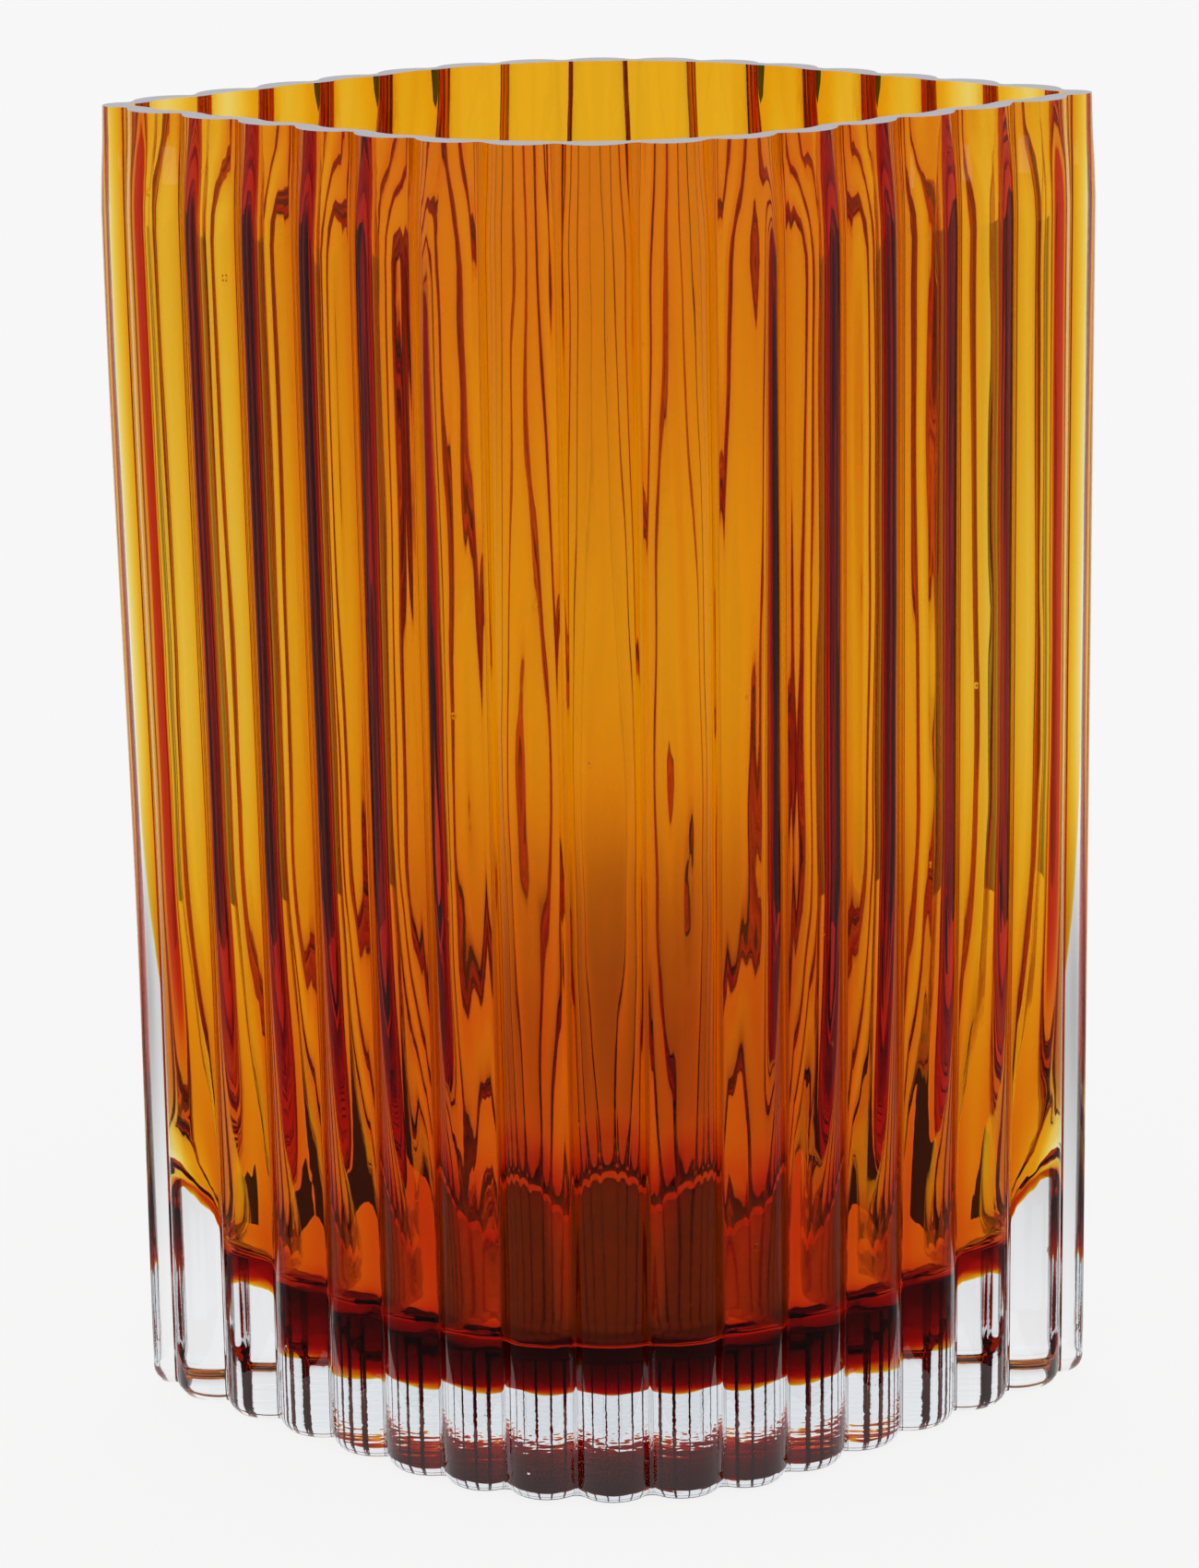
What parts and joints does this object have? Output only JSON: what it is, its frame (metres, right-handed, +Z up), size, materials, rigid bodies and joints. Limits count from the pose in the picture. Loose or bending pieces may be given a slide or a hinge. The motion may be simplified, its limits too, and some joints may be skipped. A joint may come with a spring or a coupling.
{
  "type": "glass vase",
  "caption": "Leaf-shaped vase with vertical fluted walls, an amber inner layer and a thick clear glass casing and foot.",
  "frame": {"origin": "centre of the flat foot, on the surface that the vase stands on", "axes": "+Z up, X from tip to tip of the leaf-shaped plan, Y from front to back"},
  "size_m": [0.184, 0.136, 0.25],
  "materials": {
    "clear_glass": "polished clear glass with a flat ground rim",
    "amber_glass": "transparent amber glass, golden where thin and red-brown where thick"
  },
  "bodies": {
    "root": {"clear_casing": "clear_glass", "amber_layer": "amber_glass"}
  },
  "joints": []
}
